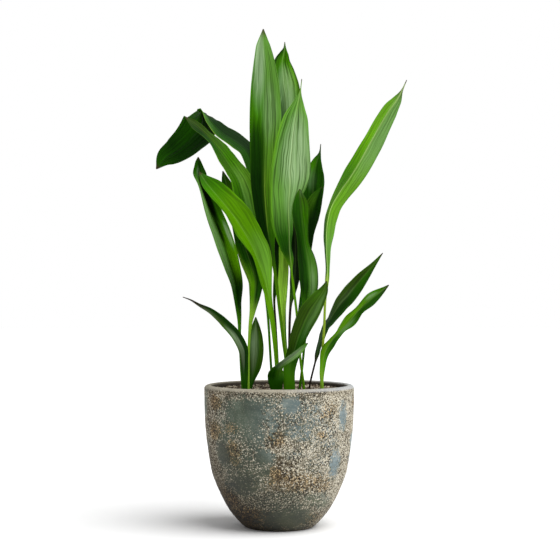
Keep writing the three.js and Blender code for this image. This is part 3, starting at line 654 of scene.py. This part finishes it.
LEAVES = [
    Leaf(
        "leaf_tallest", "leaf_mid_green", foot=(14, -25), stalk=(6, 5), blade=5, wave=(1.5, 3, 0.1),
        rib=0.05, pleat=0.16, stalk_tone="spring",
        tones="deep dark, deep mid, deep fresh, mid soft, mid soft, soft, soft",
        marks=[(0.02, 0.26, 0.06, 0.1, "lime", 1), (0, 1, 2, 0.12, "brown", 0.8),
               (-0.6, 0.4, 0.5, 0.09, "deep", 0.85)],
        painted_highlights=[(-0.45, 0.74, 0.55, 0.2, 0.85), (0.25, 0.52, 0.5, 0.1, 0.3)],
        stations=[
            (13, 332, -22, 6, 0, 10), (9, 362, -18, 6, 0, 10), (3, 412, -12, 6, 0, 10),
            (-3, 462, -8, 6, 0, 10), (-9, 512, -5, 7, 0, 12), (-16, 552, -2, 14, -5, 14),
            (-24, 602, 0, 38, -10, 14), (-29, 672, 2, 54, -12, 14), (-28, 752, 6, 61, -10, 12),
            (-27, 822, 12, 65, -8, 12), (-28, 882, 18, 58, -6, 12), (-30, 932, 24, 42, -4, 12),
            (-32, 962, 28, 28, -4, 10), (-32, 982, 30, 12, 0, 6), (-32, 994, 31, 2),
        ]),
    Leaf(
        "leaf_glossy", "leaf_pale_green", foot=(49, -30), blade=4, wave=(2, 3, 0.4), rib=0.3, pleat=0.3,
        stalk_tone="bright",
        tones="deep dark, dark, soft, soft pale, soft, soft, soft mid",
        marks=[(-0.95, 0.45, 0.12, 0.35, "bright", 0.6), (-0.55, 0.6, 0.3, 0.18, "dark", 0.4)],
        painted_highlights=[(0.2, 0.55, 0.8, 0.2, 0.75), (0.2, 0.38, 0.5, 0.14, 0.4)],
        stations=[
            (42, 336, -34, 5), (36, 416, -42, 5), (28, 482, -50, 5), (24, 516, -54, 6, 10, -10),
            (21, 552, -60, 34, 36, -38), (20, 592, -64, 62, 38, -40), (19, 636, -68, 76, 36, -38),
            (21, 682, -70, 79, 14, -16), (23, 722, -70, 78, 4, 8), (27, 772, -68, 66, 0, 12),
            (33, 816, -66, 49, 0, 14), (38, 846, -64, 22, 0, 10), (42, 868, -62, 4), (45, 894, -60, 1.5),
        ]),
    Leaf(
        "leaf_right_centre", "leaf_deep_green", foot=(41, -5), blade=4, wave=(1.5, 2, 0.2), rib=0.06,
        pleat=0.18,
        tones="deep mid, dark soft, dark mid, dark mid, dark olive, olive steel",
        marks=[(-0.8, 0.3, 0.35, 0.4, "deep", 0.8), (0.95, 0.4, 0.12, 0.4, "deep", 0.6)],
        painted_highlights=[(0.4, 0.15, 0.3, 0.12, 0.3)],
        stations=[
            (45, 308, -8, 5), (49, 348, -18, 5), (54, 402, -34, 8, 0, 5), (57, 442, -48, 22, -15, 12),
            (61, 482, -62, 38, -22, 14), (58, 528, -78, 42, -30, 14), (51, 572, -92, 42, -56, 12),
            (46, 616, -102, 40, -42, 12), (43, 642, -108, 32, -20, 12), (41, 662, -110, 16, 0, 10),
            (41, 674, -111, 2),
        ]),
    Leaf(
        "leaf_second_tall", "leaf_deep_green", foot=(17, 48), stalk=(6, 5), blade=4, wave=(2, 3, 0.7),
        rib=0.15, pleat=0.28,
        tones="deep, deep dark, dark mid, mid fresh, mid, dark mid, dark",
        marks=[(0.97, 0.5, 0.1, 0.22, "deep", 0.6), (-0.9, 0.7, 0.25, 0.22, "deep", 0.8)],
        painted_highlights=[(0.1, 0.47, 0.65, 0.17, 0.6)],
        stations=[
            (14, 340, 50, 6), (11, 392, 54, 6), (11, 492, 62, 6), (13, 572, 72, 8, 0, 8),
            (15, 652, 84, 42, 5, 12), (17, 732, 94, 60, 8, 14), (14, 812, 102, 68, 10, 14),
            (11, 868, 106, 64, 12, 14), (8, 902, 108, 52, 12, 12), (6, 928, 110, 36, 10, 10),
            (9, 944, 112, 20, 5, 8), (11, 956, 113, 6), (11, 968, 114, 1.5),
        ]),
    Leaf(
        "leaf_right_tall", "leaf_bright_green", foot=(83, -25), blade=4, wave=(2, 3, 0.3), rib=0.65,
        pleat=0.12, stalk_tone="straw",
        tones="dark spring, mid soft, spring fresh, mid fresh, bright soft, fresh soft, soft fresh",
        marks=[(-0.8, 0.16, 0.55, 0.2, "deep", 0.8), (0, 1, 2, 0.12, "plum", 1)],
        painted_highlights=[(0.45, 0.68, 0.6, 0.2, 0.2), (0.3, 0.88, 0.9, 0.1, 0.16)],
        stations=[
            (87, 352, -40, 5), (90, 402, -42, 5), (92, 452, -38, 5), (95, 486, -34, 8, 20, 5),
            (96, 512, -30, 16, 50, 10), (94, 552, -24, 34, 66, 14), (94, 582, -18, 40, 62, 16),
            (97, 612, -12, 45, 58, 16), (104, 638, -6, 52, 56, 16), (121, 668, 0, 54, 48, 16),
            (142, 698, 4, 56, 40, 16), (161, 728, 8, 54, 38, 14), (180, 762, 10, 54, 38, 14),
            (199, 796, 10, 52, 38, 12), (219, 830, 8, 41, 34, 12), (234, 850, 6, 22, 25, 10),
            (245, 870, 4, 5), (255, 892, 2, 1.5),
        ]),
    Leaf(
        "leaf_arching", "leaf_deep_green", foot=(-2, 58), stalk=(6, 5), blade=5, wave=(1.5, 2, 0.5), rib=0,
        pleat=0.16,
        tones="dark deep, dark deep, dark deep, mid deep, dark deep, deep, dark",
        marks=[(-0.97, 0.36, 0.08, 0.2, "lime", 0.7)],
        stations=[
            (-8, 352, 62, 6), (-18, 432, 70, 6), (-31, 512, 82, 6, 10), (-42, 602, 94, 9, 25, 5),
            (-48, 672, 102, 26, 40, 8), (-56, 724, 108, 50, 52, 8), (-66, 749, 112, 60, 58, 8),
            (-87, 767, 116, 66, 60, 8), (-117, 786, 120, 72, 64, 8), (-136, 806, 122, 74, 70, 6),
            (-146, 820, 124, 74, 79, 5), (-154, 828, 126, 74, 94, 4), (-157, 803, 126, 94, 136, 4),
            (-179, 774, 122, 75, 148, 6), (-207, 750, 116, 57, 155, 8), (-229, 736, 110, 38, 155, 8),
            (-246, 714, 104, 2, 150),
        ]),
    Leaf(
        "leaf_upper_left", "leaf_mid_green", foot=(-14, 8), blade=5, wave=(1.5, 3, 0.2), rib=0.06,
        pleat=0.18,
        tones="deep dark, dark mid, mid fresh, olive mid, dark olive, deep dusk, dusk",
        marks=[(-0.96, 0.5, 0.08, 0.4, "fresh", 0.5), (0.96, 0.7, 0.08, 0.3, "fresh", 0.3)],
        painted_highlights=[(0.2, 0.3, 0.4, 0.15, 0.1)],
        stations=[
            (-16, 312, 8, 5), (-19, 362, 8, 5), (-22, 412, 10, 5), (-27, 462, 20, 6),
            (-37, 528, 32, 10, 10, 5), (-48, 576, 38, 38, 25, 10), (-63, 635, 38, 60, 34, 10),
            (-79, 688, 28, 62, 44, 10), (-95, 715, 20, 60, 50, 10), (-112, 740, 10, 54, 54, 10),
            (-125, 757, 6, 48, 58, 10), (-144, 779, 0, 40, 62, 8), (-168, 801, -6, 26, 50, 8),
            (-188, 818, -10, 2, 40),
        ]),
    Leaf(
        "leaf_bright_left", "leaf_bright_green", foot=(-2, -35), stalk=(8, 7), blade=4, wave=(1.5, 3, 0.6),
        rib=0.1, pleat=0.1, stalk_tone="bright",
        tones="spring fresh, spring fresh, spring, spring, spring, mid, dark",
        marks=[(-0.97, 0.5, 0.1, 0.4, "dark", 0.5), (0.1, 0.35, 0.1, 0.2, "fresh", 0.25)],
        painted_highlights=[(0.5, 0.25, 0.5, 0.15, 0.06)],
        stations=[
            (-5, 322, -38, 8), (-8, 362, -42, 9), (-14, 412, -50, 10, 10, 5), (-20, 448, -58, 14, 25, 12),
            (-27, 482, -66, 26, 38, 20), (-45, 536, -76, 60, 44, 34), (-58, 566, -82, 66, 43, 28),
            (-73, 592, -88, 68, 42, 24), (-90, 618, -94, 68, 42, 26), (-107, 640, -98, 65, 44, 28),
            (-126, 662, -102, 54, 42, 28), (-144, 684, -106, 37, 34, 22), (-160, 708, -108, 2, 30),
        ]),
    Leaf(
        "leaf_low_right", "leaf_mid_green", foot=(20, -75), stalk=(22, 5), blade=1, wave=(1, 2, 0.1),
        rib=0.05, pleat=0.14,
        tones="deep, dusk dark, dusk olive, olive, dusk",
        painted_highlights=[(0.5, 0.55, 0.4, 0.3, 0.1)],
        stations=[
            (20, 312, -76, 24, 0, 8), (30, 352, -80, 28, 5, 10), (43, 392, -84, 36, 8, 12),
            (60, 428, -88, 41, 8, 12), (76, 452, -92, 32, 5, 10), (89, 472, -95, 18, 0, 6),
            (95, 490, -97, 2),
        ]),
    Leaf(
        "leaf_behind_left", "leaf_mid_green", foot=(-61, -28), blade=3, wave=(1, 2, 0.2), rib=0.08,
        pleat=0.14, stalk_tone="lime",
        tones="spring dark, bright dark, dark deep, dark, dark olive, deep",
        marks=[(-0.9, 0.28, 0.25, 0.2, "lime", 0.5)],
        stations=[
            (-61, 352, -12, 5), (-58, 402, 0, 7, 0, 4), (-53, 432, 12, 13, 5, 8),
            (-49, 462, 26, 24, 10, 12), (-48, 492, 40, 34, 15, 14), (-58, 528, 50, 44, 20, 14),
            (-70, 562, 55, 44, 25, 14), (-83, 608, 59, 42, 40, 12), (-96, 652, 61, 34, 40, 12),
            (-106, 684, 61, 22, 30, 10), (-113, 710, 60, 2, 20),
        ]),
    Leaf(
        "leaf_folded_left", "leaf_deep_green", foot=(-73, -12), blade=3, wave=(1.5, 3, 0.5), rib=0,
        pleat=0.14,
        tones="dark deep, dark deep, soft bright, soft mid, soft dark, dark, deep black",
        marks=[(0.25, 0.62, 0.4, 0.16, "black", 1), (0.1, 0.44, 0.18, 0.08, "black", 0.9),
               (0.5, 0.15, 0.8, 0.08, "deep", 0.6), (0.6, 0.31, 0.35, 0.1, "bright", 0.8)],
        painted_highlights=[(-0.6, 0.45, 0.4, 0.3, 0.3), (-0.1, 0.84, 0.3, 0.06, 0.25), (0.75, 0.42, 0.2, 0.07, 0.8)],
        stations=[
            (-76, 312, -12, 5), (-79, 382, -12, 6, 0, 5), (-80, 416, -12, 9, 4, 20),
            (-83, 448, -13, 18, 6, 40), (-86, 482, -14, 36, 8, 50), (-97, 520, -16, 52, 9, 52),
            (-109, 558, -18, 60, 9, 52), (-122, 592, -20, 60, 12, 53), (-135, 622, -22, 57, 15, 54),
            (-149, 658, -24, 50, 22, 54), (-159, 686, -26, 38, 30, 50), (-162, 706, -28, 34, 19, 39),
            (-162, 722, -29, 20, 10, 36), (-162, 738, -30, 2),
        ]),
    Leaf(
        "leaf_low_left", "leaf_deep_green", foot=(-67, -52), stalk=(9, 5), blade=1, wave=(1, 2, 0.3),
        rib=0, pleat=0.1, stalk_tone="dark",
        tones="deep, dusk deep, steel deep, dusk deep, ash deep, plum, plum",
        painted_highlights=[(-0.3, 0.24, 0.5, 0.22, 0.4)],
        stations=[
            (-69, 302, -52, 13, 0, 8), (-70, 332, -54, 16, 0, 12), (-73, 356, -57, 20, 5, 12),
            (-88, 383, -63, 20, 15, 12), (-103, 399, -69, 19, 20, 12), (-120, 416, -75, 16, 20, 10),
            (-139, 431, -81, 11, 15, 8), (-160, 442, -87, 6), (-177, 452, -91, 3), (-193, 458, -94, 1.5),
        ]),
    Leaf(
        "leaf_small_upright", "leaf_pale_green", foot=(-57, 2), stalk=(6, 4.5), blade=1, wave=(1, 1, 0.1),
        rib=0.1, pleat=0.16, stalk_tone="dark",
        tones="deep dark, dusk olive, steel olive, olive dusk, dark",
        painted_highlights=[(-0.1, 0.5, 0.5, 0.4, 0.35)],
        stations=[
            (-55, 292, 4, 13, 0, 8), (-50, 320, 8, 29, 0, 12), (-47, 352, 12, 33, 0, 14),
            (-47, 382, 16, 27, 0, 12), (-47, 402, 18, 15, 0, 10), (-47, 418, 19, 2),
        ]),
    Leaf(
        "leaf_front_folded", "leaf_mid_green", foot=(-5, -80), stalk=(22, 5), blade=1, wave=(0, 1, 0),
        rib=0, pleat=0.12, stalk_tone="dark",
        tones="deep dark, dark olive, steel soft, steel soft, mid",
        painted_highlights=[(0, 0.62, 0.9, 0.3, 0.45)],
        stations=[
            (-7, 292, -85, 31, 0, -10), (-5, 306, -90, 34, 30, -8), (0, 318, -92, 28, 56, -4),
            (14, 330, -98, 24, 56, 4), (30, 342, -103, 20, 48, 8), (44, 354, -106, 14, 40, 8),
            (57, 366, -108, 2, 20),
        ]),
    Leaf(
        "leaf_dark_right", "leaf_deep_green", foot=(60, -5), stalk=(4, 4), blade=3, wave=(1, 2, 0.4),
        rib=0.04, pleat=0.14, stalk_tone="plum",
        tones="deep, deep, deep, dusk deep, dusk dark, olive dusk",
        marks=[(0.9, 0.5, 0.2, 0.4, "dark", 0.5)],
        painted_highlights=[(-0.15, 0.62, 0.35, 0.12, 0.06)],
        stations=[
            (64, 296, -4, 4), (69, 316, -2, 4), (73, 332, 0, 5, 0, 5), (77, 352, 2, 16, 50, 10),
            (84, 377, 5, 25, 60, 10), (91, 399, 8, 28, 60, 10), (103, 416, 12, 33, 54, 10),
            (121, 443, 18, 36, 30, 12), (139, 464, 24, 37, 22, 12), (162, 492, 30, 28, 15, 12),
            (187, 521, 36, 12, 0, 6), (207, 546, 40, 1.5),
        ]),
    Leaf(
        "leaf_wavy_right", "leaf_bright_green", foot=(85, -60), blade=1, wave=(4.5, 3, 0.2), rib=0.1,
        pleat=0.12, stalk_tone="lime",
        tones="bright, spring mid, spring dark, spring mid, spring dark, mid dark, deep plum",
        marks=[(-0.3, 0.66, 0.4, 0.08, "bright", 0.7)],
        painted_highlights=[(0.3, 0.5, 0.4, 0.1, 0.2), (-0.4, 0.8, 0.3, 0.05, 0.4)],
        stations=[
            (85, 296, -61, 8), (87, 322, -63, 13, 10, 8), (92, 348, -67, 18, 20, 10),
            (105, 371, -73, 18, 30, 12), (122, 390, -79, 20, 28, 12), (141, 410, -84, 25, 20, 12),
            (159, 432, -88, 18, 15, 10), (182, 453, -93, 27, 12, 10), (207, 472, -98, 11, 0, 4),
            (219, 482, -100, 2),
        ]),
    Leaf(
        "leaf_upper_right", "leaf_deep_green", foot=(22, 75), blade=4, wave=(1.5, 2, 0.1), rib=0.06,
        pleat=0.14, stalk_tone="dark",
        tones="black deep, deep, dark, mid dark, dark, deep plum",
        painted_highlights=[(-0.2, 0.45, 0.5, 0.12, 0.15)],
        stations=[
            (27, 332, 76, 5), (39, 412, 78, 5), (51, 492, 80, 5), (59, 562, 82, 8, 0, 5),
            (65, 622, 84, 32, 10, 12), (67, 672, 86, 46, 15, 12), (69, 702, 87, 43, 15, 12),
            (75, 728, 88, 22, 10, 10), (81, 746, 88, 5), (83, 764, 88, 1.5),
        ]),
    Leaf(
        "leaf_right_behind", "leaf_deep_green", foot=(25, 30), blade=3, wave=(1, 2, 0.6), rib=0,
        pleat=0.14, stalk_tone="dark",
        tones="deep, deep, deep, olive deep, dark deep",
        stations=[
            (30, 342, 28, 5), (39, 422, 22, 5), (49, 502, 12, 7), (55, 552, 10, 20, -10, 10),
            (60, 592, 5, 26, -20, 12), (66, 628, -12, 38, -20, 14), (75, 656, -16, 26, -10, 12),
            (85, 678, -18, 2),
        ]),
    Leaf(
        "leaf_dark_centre", "leaf_deep_green", foot=(21, -5), blade=3, wave=(1, 2, 0.2), rib=0.04,
        pleat=0.12, stalk_tone="plum",
        tones="mid dark, deep black, black, black, deep",
        stations=[
            (20, 352, -4, 5), (21, 412, -2, 5), (23, 444, 0, 6, 0, 4), (27, 468, -3, 14, 20, 10),
            (31, 502, -8, 26, 35, 12), (32, 542, -8, 32, 40, 12), (31, 588, 2, 30, 40, 12),
            (30, 628, 6, 20, 30, 10), (29, 656, 8, 2),
        ]),
    # Its glow tone is painted light.
    Leaf(
        "leaf_light_inner", "leaf_bright_green", foot=(15, 12), blade=3, wave=(1, 2, 0.4), rib=0.1,
        pleat=0.1, stalk_tone="lime",
        tones="glow lime, glow, glow lime, bright, dark",
        stations=[
            (13, 342, 12, 5), (9, 382, 13, 5), (8, 416, 14, 8, 0, 5), (7, 452, 15, 16, 10, 12),
            (7, 488, 16, 21, 10, 14), (8, 522, 17, 22, 20, 14), (8, 562, 18, 20, 20, 12),
            (8, 602, 19, 14, 10, 10), (8, 636, 20, 2),
        ]),
    Leaf(
        "leaf_dark_inner", "leaf_deep_green", foot=(-1, 25), stalk=(4, 4), blade=3, wave=(1, 2, 0.1),
        rib=0, pleat=0.1, stalk_tone="plum",
        tones="dark, deep, black deep, deep",
        stations=[
            (-4, 352, 28, 4), (-7, 402, 31, 4), (-10, 452, 33, 5, 0, 4), (-8, 476, 34, 10, 15, 8),
            (-4, 512, 35, 16, 25, 12), (-3, 552, 36, 18, 25, 12), (-2, 588, 37, 14, 15, 10),
            (-1, 622, 38, 2),
        ]),
]


def along_sight(x, z, depth):
    """A point seen at (x, z) in the plane of the pot's axis, pushed back along the sight line."""
    reach = (depth - EYE[1]) / -EYE[1]
    return EYE[0] + (x - EYE[0]) * reach, depth, EYE[2] + (z - EYE[2]) * reach


def unit(vectors):
    return vectors / np.linalg.norm(vectors, axis=1, keepdims=True)


def row_places(spine, blade_from):
    """Where the rows of a leaf's mesh lie, as station numbers, closer on the blade."""
    places = [np.zeros(1)]
    for station in range(len(spine) - 1):
        step = BLADE_ROW_STEP if station >= blade_from - 1 else STALK_ROW_STEP
        length = math.dist(spine[station], spine[station + 1])
        parts = max(2, round(length / step))
        places.append(station + np.arange(1, parts + 1) / parts)
    return np.concatenate(places)


def leaf_rows(leaf):
    """Each row's place, middle, sideways and upward directions, width and fold."""
    spine = [(*leaf.foot, SOIL_TOP - FOOT_DEPTH), (*leaf.foot, SOIL_TOP + STALK_RISE)]
    spine += [along_sight(*station[:3]) for station in leaf.stations]
    form = [(leaf.stalk[0], 0, 0)] * 2 + [(*station[3:], 0, 0)[:3] for station in leaf.stations]
    places = row_places(spine, leaf.blade + 1)
    share = places / (len(spine) - 1)
    middles, ahead, behind = (
        smooth_line(spine, share + step, even=False) for step in (0, LOOK_AHEAD, -LOOK_AHEAD))
    width, turn, fold = smooth_line(form, share).T[..., None]
    turn = np.radians(turn)

    along = unit(ahead - behind)
    flat = unit(np.stack([along[:, 2], np.zeros(len(along)), -along[:, 0]], axis=1))
    depthward = unit(np.cross(along, flat))
    sideways = flat * np.cos(turn) + depthward * np.sin(turn)
    up = unit(np.cross(sideways, along))
    return places, middles, sideways, up, np.maximum(width, LEAST_WIDTH), np.radians(fold)


def leaf_section(leaf, columns, width, fold, opened, share):
    """Round every row: the place across it, from -1 to 1, and how far it lies sideways and up.

    The stalk's round section opens into the blade's. The foot's place sets where ripples and
    pleats begin, so that no two leaves have the same.
    """
    steps = np.arange(columns + 1)
    order = np.concatenate([steps, steps[::-1]])
    face = np.concatenate([np.ones(columns + 1), -np.ones(columns + 1)])[None]
    u = (order / columns * 2 - 1)[None]
    half = width / 2
    full_turn = 2 * math.pi

    wave_height, wave_count, wave_start = leaf.wave
    waved = np.minimum(1, width / WAVED_FROM)
    beat = full_turn * (wave_count * share + wave_start + u * WAVE_LAG)
    wave = wave_height * u**2 * np.sin(beat) * waved
    ripple = RIPPLE_HEIGHT * u**4 * np.sin(full_turn * (RIPPLES * share + u) + leaf.foot[0]) * waved
    folds = np.maximum(2, np.round(width.max() / PLEAT_SPACING))
    sway = PLEAT_SWAY * np.sin(full_turn * SWAYS * share + leaf.foot[0])
    pleats = np.cos(full_turn * (folds * (np.abs(u) + sway) / 2)) + FINER_PLEAT_HEIGHT * np.cos(
        full_turn * (folds * FINER_PLEATS * (u + sway) / 2) + leaf.foot[1])
    pleat = leaf.pleat * pleats * (1 - u**6) * np.minimum(1, width / PLEATED_FROM)
    crease = np.exp(-(u * half / RIB_WIDTH) ** 2) * np.minimum(1, width / CREASED_FROM)
    thickness = BLADE_THICKNESS / 2 * (1 - EDGE_THINNING * u**2)
    under = np.where(face < 0, RIB_DEPTH * crease, 0)
    lift = np.hypot(u, FOLD_ROUNDING) - FOLD_ROUNDING

    tilt = np.sign(u) * fold
    blade_across = u * half * np.cos(fold) - face * thickness * np.sin(tilt)
    blade_up = (lift * half * np.sin(fold) + wave + ripple + pleat - CREASE_DEPTH * crease
                + face * thickness * np.cos(tilt) - under)
    angle = math.pi * (1 - (order + 0.5) / (columns + 1))[None]
    round_across = half * np.cos(angle)
    round_up = face * leaf.stalk[1] / 2 * np.sin(angle)
    off_across = blade_across * opened + round_across * (1 - opened)
    off_up = blade_up * opened + round_up * (1 - opened)
    return u, off_across, off_up


def leaf_faces(rows, columns):
    """Quads round every pair of rows, and across the closed foot and tip."""
    count = 2 * columns + 2
    index = np.arange(count)
    beside = (index + 1) % count
    start = (np.arange(rows - 1) * count)[:, None]
    faces = np.stack([start + index, start + beside, start + beside + count, start + index + count], axis=2)
    faces = faces.reshape(-1, 4).tolist()
    top = (rows - 1) * count
    for step in range(columns):
        below = count - 1 - step
        faces.append((step, below, below - 1, step + 1))
        faces.append((top + step, top + step + 1, top + below - 1, top + below))
    return faces


def laid_over(colour, tone, amount):
    """The colour at each point with a tone laid over it, by an amount from 0 to 1."""
    amount = amount[..., None]
    return colour * (1 - amount) + np.array(tone) * amount


def soft_patch(u, share, middle, place, reach, length, strength):
    """How strongly a soft patch lies at each point of a blade."""
    return strength * ease(*MARK_FADE, np.hypot((u - middle) / reach, (share - place) / length))


def leaf_colours(leaf, u, share, opened, half):
    """Each point's tone, painted light and shade included, and its share of painted sheen, by its place."""
    pairs = [(pair.split() * 2)[:2] for pair in leaf.tones.split(", ")]
    tones = np.array([[SHADES[side] for side in pair] for pair in pairs])
    stops = np.linspace(0, 1, len(tones))
    left, right = (
        np.stack([np.interp(share, stops, tones[:, side, part]) for part in range(3)], axis=-1)
        for side in (0, 1))
    # The two halves differ mostly as painted light and shade: one turned to the light, one away.
    colour = laid_over(left, right, ease(-HALVES_BLEND, HALVES_BLEND, u))
    for *patch, tone, strength in leaf.marks:
        colour = laid_over(colour, SHADES[tone], soft_patch(u, share, *patch, strength))
    colour = laid_over(colour, RIB_TONE, leaf.rib * np.exp(-(u * half / RIB_REACH) ** 2))
    colour = laid_over(colour, SHADES["fresh"], MARGIN_LIGHT * ease(*MARGIN, np.abs(u)))
    colour = laid_over(colour, SHADES["brown"], ease(*TIP, share))
    # Painted light and shade on the stalk: lighter on its left, darker on its right.
    sunlit = (1 - STALK_SHADING * u)[..., None]
    colour = laid_over(colour, np.array(SHADES[leaf.stalk_tone]) * sunlit, 1 - opened)
    # Where the painted highlights lie, as a share of painted sheen.
    gloss = np.zeros(u.shape)
    for patch in leaf.painted_highlights:
        gloss = np.maximum(gloss, soft_patch(u, share, *patch))
    return colour, gloss * opened


def leaf_body(leaf):
    """The leaf's mesh, with the values that its finish reads at the points."""
    widest = max(station[3] for station in leaf.stations)
    columns = max(FEWEST_COLUMNS, round(widest / COLUMN_WIDTH / 2) * 2)
    places, middles, sideways, up, width, fold = leaf_rows(leaf)
    blade_from = leaf.blade + 1
    opened = ease(blade_from - 0.5, blade_from + 1, places)[:, None]
    share = np.clip((places - blade_from) / (places[-1] - blade_from), 0, 1)[:, None]
    u, off_across, off_up = leaf_section(leaf, columns, width, fold, opened, share)
    points = middles[:, None] + sideways[:, None] * off_across[..., None] + up[:, None] * off_up[..., None]

    whole = np.ones_like(off_up)
    colours, gloss = leaf_colours(leaf, u * whole, share * whole, opened * whole, width / 2 * whole)
    piece = make_piece(leaf.name + "_blade", points.reshape(-1, 3), leaf_faces(len(places), columns), {
        "blade_colour": colours.reshape(-1, 3),
        "gloss": gloss.ravel(),
        "across": (u * whole * widest / 2 * MM).ravel(),
        "along": (lengths_along(middles)[:, None] * whole * MM).ravel(),
        "opened": (opened * whole).ravel(),
    })
    piece.data.set_sharp_from_angle(angle=math.radians(SHARPEST_FOLD))
    return piece


# The veins: waves a metre across and along the blade, how far they drift sideways in metres,
# and the pleat height at which a blade is fully lined.
DRIFT_SCALES = (70.0, 22.0)
BROAD_SCALES = (110.0, 6.0)
FINE_SCALES = (300.0, 6.0)
VEIN_SCALES = (900.0, 8.0)
VEIN_DRIFT = 0.008
FULL_PLEAT = 0.42
LEAF_SPECULAR = 0.04
LEAF_BUMP = 0.0009


def leaf_finish(name, seed, lined):
    """Satin green skin with fine veins along the blade, more or less strongly lined, and a streaked painted
    sheen.
    """
    material, tree, shader = new_material(name)
    straight = named_value(tree, "across")
    along = named_value(tree, "along")
    opened = named_value(tree, "opened")
    gloss = named_value(tree, "gloss")

    def streaks(across, scales):
        """Noise drawn out along the blade."""
        place = add_node(tree, "ShaderNodeCombineXYZ", {
            "X": maths(tree, "MULTIPLY", across, scales[0]),
            "Y": maths(tree, "MULTIPLY", along, scales[1]), "Z": float(seed)})
        return clouds(tree, place.outputs[0], 1.0, 1.0)

    across = weighed(tree, (straight, 1.0), (streaks(straight, DRIFT_SCALES), VEIN_DRIFT))
    broad = streaks(across, BROAD_SCALES)
    fine = streaks(across, FINE_SCALES)
    veins = streaks(across, VEIN_SCALES)
    furrows = spread_over(tree, fine, 0.4, 0.5)
    lit = weighed(tree, (broad, 0.2 + 0.4 * lined), (fine, 1.0), (veins, 0.9), (furrows, 0.6 * lined))
    lit = maths(tree, "SUBTRACT", lit, 1.05 + 0.66 * lined)
    strength = maths(tree, "MULTIPLY_ADD", lit, opened, 1.0)
    tone = add_node(tree, "ShaderNodeCombineColor", {"Red": strength, "Green": strength, "Blue": strength})
    colour = mixed(tree, 1.0, named_value(tree, "blade_colour", "Color"), tone.outputs["Color"], "MULTIPLY")
    # The painted sheen: a streaked pale tone laid over the blade by its gloss share.
    streaked = spread_over(tree, weighed(tree, (fine, 0.6), (veins, 0.2), (broad, 0.2)), 0.42, 0.58,
                           0.45 - 0.45 * lined, 0.75)
    height = maths(tree, "MULTIPLY", weighed(tree, (veins, 0.5), (fine, 0.5)), opened)
    join(tree, shader, {
        "Base Color": mixed(tree, maths(tree, "MULTIPLY", streaked, gloss), colour, PAINTED_SHEEN_TONE),
        "Roughness": spread_over(tree, broad, 0.3, 0.7, 0.34, 0.46),
        "Specular IOR Level": LEAF_SPECULAR,
        "Normal": bumps(tree, height, 0.4, LEAF_BUMP),
    })
    return material


for number, leaf in enumerate(LEAVES):
    skin = leaf_finish(leaf.name + "_skin", number * 7, leaf.pleat / FULL_PLEAT)
    put_in_place(leaf_body(leaf), skin, leaf.name)

# Floor, light and camera
# A plain white floor and background, one broad soft light from the right and in front, and
# the camera at the photograph's place.
FLOOR_REACH = 12000
FLOOR_DROP = 0.2
FLOOR_WHITE = (0.92, 0.92, 0.92, 1)
KEY_DIRECTION = Vector((-0.47, 0.26, -0.84))
KEY_STRENGTH = 3.25
KEY_ANGLE = 58
ROOM_LIGHT = 0.46
SENSOR_WIDTH = 36
CAMERA_PIXELS = 1500
PHOTO_WIDTH = 560

signs = [(-1, -1), (1, -1), (1, 1), (-1, 1)]
corners = [(x * FLOOR_REACH, y * FLOOR_REACH, -FLOOR_DROP) for x, y in signs]
floor = make_piece("floor", corners, [(0, 1, 2, 3)])
floor_material, floor_tree, floor_shader = new_material("white_floor")
join(floor_tree, floor_shader, {"Base Color": FLOOR_WHITE, "Roughness": 0.9, "Specular IOR Level": 0.1})
floor.data.materials.append(floor_material)

world = bpy.data.worlds.new("white_room")
bpy.context.scene.world = world
world.use_nodes = True
room = world.node_tree
seen = add_node(room, "ShaderNodeLightPath").outputs["Is Camera Ray"]
brightness = add_node(room, "ShaderNodeMapRange", {"Value": seen, "To Min": ROOM_LIGHT, "To Max": 1.0})
join(room, room.nodes["Background"], {"Strength": brightness.outputs[0], "Color": (1, 1, 1, 1)})

key_data = bpy.data.lights.new("key_light", "SUN")
key_data.energy = KEY_STRENGTH
key_data.angle = math.radians(KEY_ANGLE)
key_light = new_object("key_light", key_data)
key_light.rotation_euler = KEY_DIRECTION.to_track_quat("-Z", "Y").to_euler()

camera_data = bpy.data.cameras.new("camera")
camera_data.sensor_width = SENSOR_WIDTH
camera_data.lens = SENSOR_WIDTH * CAMERA_PIXELS / PHOTO_WIDTH
camera = new_object("camera", camera_data)
camera.location = Vector(EYE) * MM
camera.rotation_euler = (math.radians(90), 0, 0)
bpy.context.scene.camera = camera
bpy.context.scene.view_settings.view_transform = "Standard"
